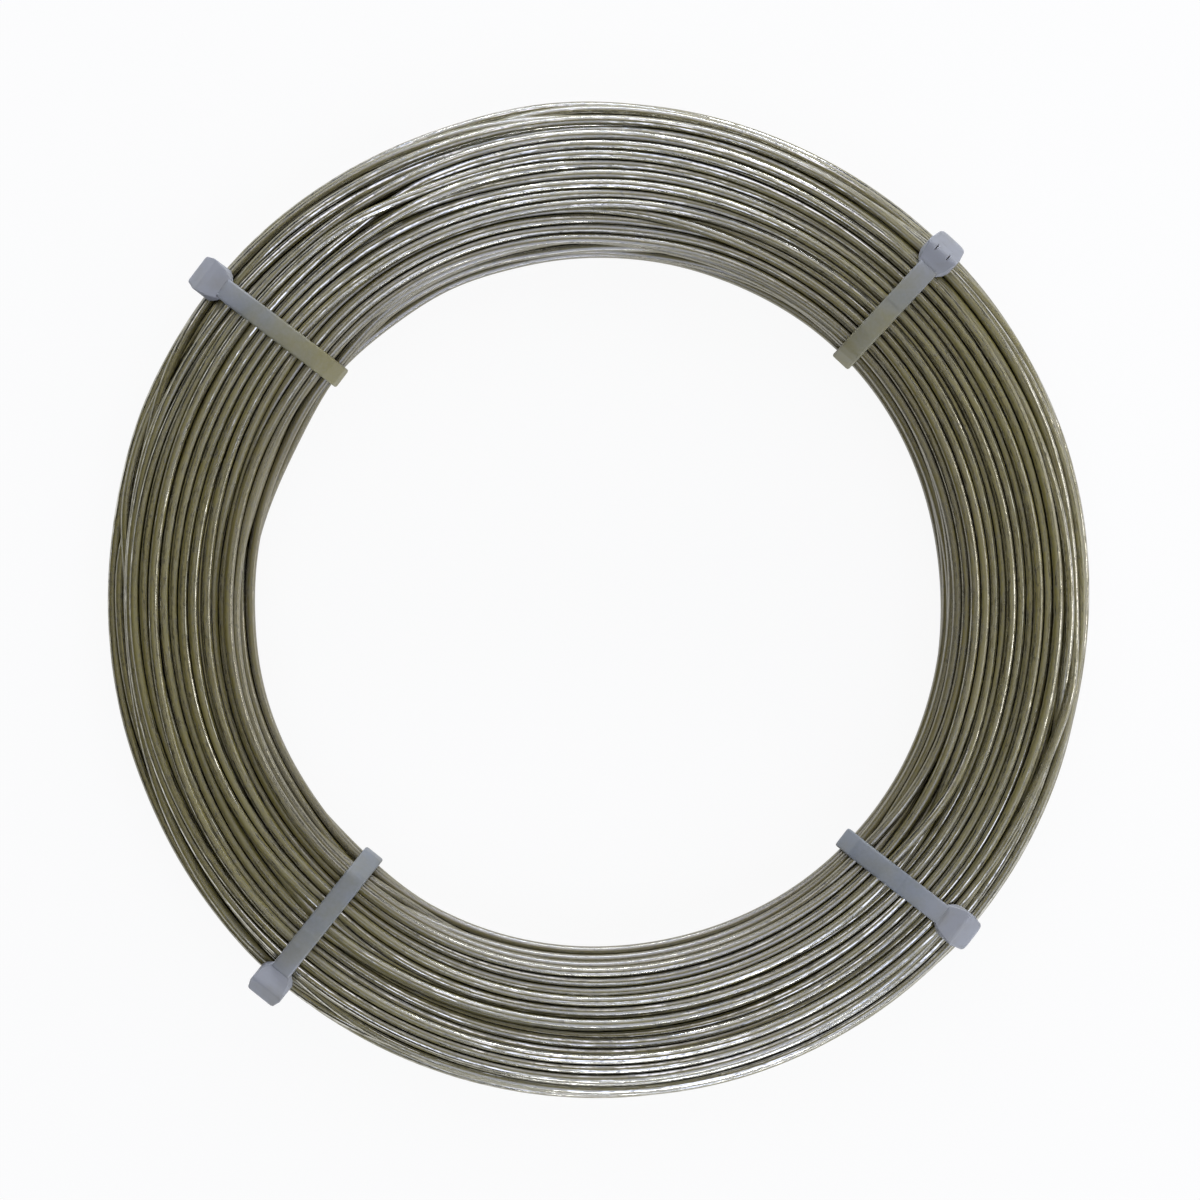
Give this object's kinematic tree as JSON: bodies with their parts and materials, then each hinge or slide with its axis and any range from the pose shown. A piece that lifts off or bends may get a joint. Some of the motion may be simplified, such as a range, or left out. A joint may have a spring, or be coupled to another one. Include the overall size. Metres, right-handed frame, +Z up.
{
  "type": "coil of baling wire",
  "caption": "Flat ring-shaped coil of bare steel baling wire, bound across its band at even intervals by nylon cable ties.",
  "frame": {"origin": "on the coil's axis, level with the undersides of the cable ties that the coil rests on", "axes": "+Z up along the coil's axis, with the coil lying flat; +X to the right and +Y to the back, so the ties stand at about 45, 139, 229 and 317 degrees from +X towards +Y"},
  "size_m": [0.2188, 0.2188, 0.0273],
  "materials": {
    "wire": "bare drawn steel wire, dull olive grey, with thin bright streaks along the turns",
    "ties": "natural translucent nylon"
  },
  "bodies": {
    "root": {"wire_coil": "wire", "cable_tie_back_right": "ties", "cable_tie_back_left": "ties", "cable_tie_front_left": "ties", "cable_tie_front_right": "ties"}
  },
  "joints": []
}
